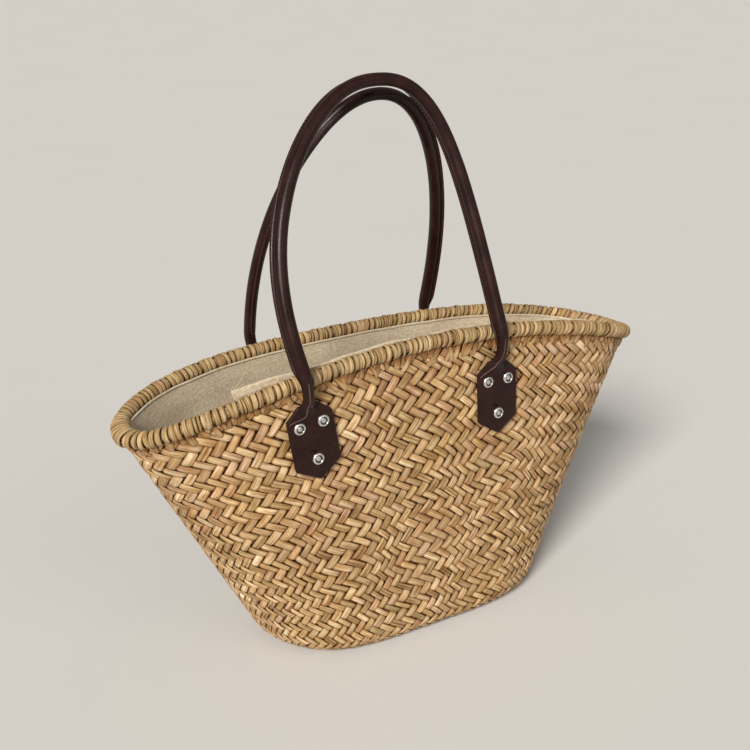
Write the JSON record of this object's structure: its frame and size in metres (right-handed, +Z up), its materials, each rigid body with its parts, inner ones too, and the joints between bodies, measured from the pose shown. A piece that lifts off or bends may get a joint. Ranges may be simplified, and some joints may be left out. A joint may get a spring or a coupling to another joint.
{
  "type": "beach bag",
  "caption": "Woven straw beach bag with a flared open basket, wrapped rim, linen lining and rolled leather handles on riveted tabs.",
  "frame": {"origin": "on the ground plane, in the middle of the bag's overall length and depth", "axes": "+X along the bag's length towards its right end as seen from the front, +Y from the front to the back, +Z up"},
  "size_m": [0.4864, 0.1679, 0.4521],
  "materials": {
    "straw": "dry plaited straw strips, matte with a faint sheen along the fibres",
    "straw_edge": "dry straw strands wrapped over the rim, matte",
    "reed": "bundle of dry stalks inside the rim",
    "linen": "beige plain-weave lining cloth",
    "leather": "dark burgundy brown smooth leather, satin",
    "leather_back": "second leather layer under each tab, matte",
    "rope": "twisted cotton cord that fills the handle",
    "nickel": "nickel plated rivet, polished",
    "steel": "plain washer"
  },
  "bodies": {
    "root": {"basket_body": "straw", "rim_core": "reed", "rim_wrap": "straw_edge", "lining_wall": "linen", "lining_base": "linen", "front_left_tab": "leather", "front_left_tab_backing": "leather_back", "front_left_rivet_upper_left": "nickel", "front_left_washer_upper_left": "steel", "front_left_rivet_upper_right": "nickel", "front_left_washer_upper_right": "steel", "front_left_rivet_lower": "nickel", "front_left_washer_lower": "steel", "front_right_tab": "leather", "front_right_tab_backing": "leather_back", "front_right_rivet_upper_left": "nickel", "front_right_washer_upper_left": "steel", "front_right_rivet_upper_right": "nickel", "front_right_washer_upper_right": "steel", "front_right_rivet_lower": "nickel", "front_right_washer_lower": "steel", "back_left_tab": "leather", "back_left_tab_backing": "leather_back", "back_left_rivet_upper_left": "nickel", "back_left_washer_upper_left": "steel", "back_left_rivet_upper_right": "nickel", "back_left_washer_upper_right": "steel", "back_left_rivet_lower": "nickel", "back_left_washer_lower": "steel", "back_right_tab": "leather", "back_right_tab_backing": "leather_back", "back_right_rivet_upper_left": "nickel", "back_right_washer_upper_left": "steel", "back_right_rivet_upper_right": "nickel", "back_right_washer_upper_right": "steel", "back_right_rivet_lower": "nickel", "back_right_washer_lower": "steel"},
    "front_handle": {"front_handle_cover": "leather", "front_handle_core": "rope"},
    "back_handle": {"back_handle_cover": "leather", "back_handle_core": "rope"}
  },
  "joints": [
    {"name": "front_handle_swing", "type": "hinge", "parent": "root", "child": "front_handle", "pos_m": [-0.0293, -0.0745, 0.23], "axis": [1, 0, 0], "range_deg": [0, 110]},
    {"name": "back_handle_swing", "type": "hinge", "parent": "root", "child": "back_handle", "pos_m": [0.0002, 0.0745, 0.211], "axis": [-1, 0, 0], "range_deg": [0, 110]}
  ]
}
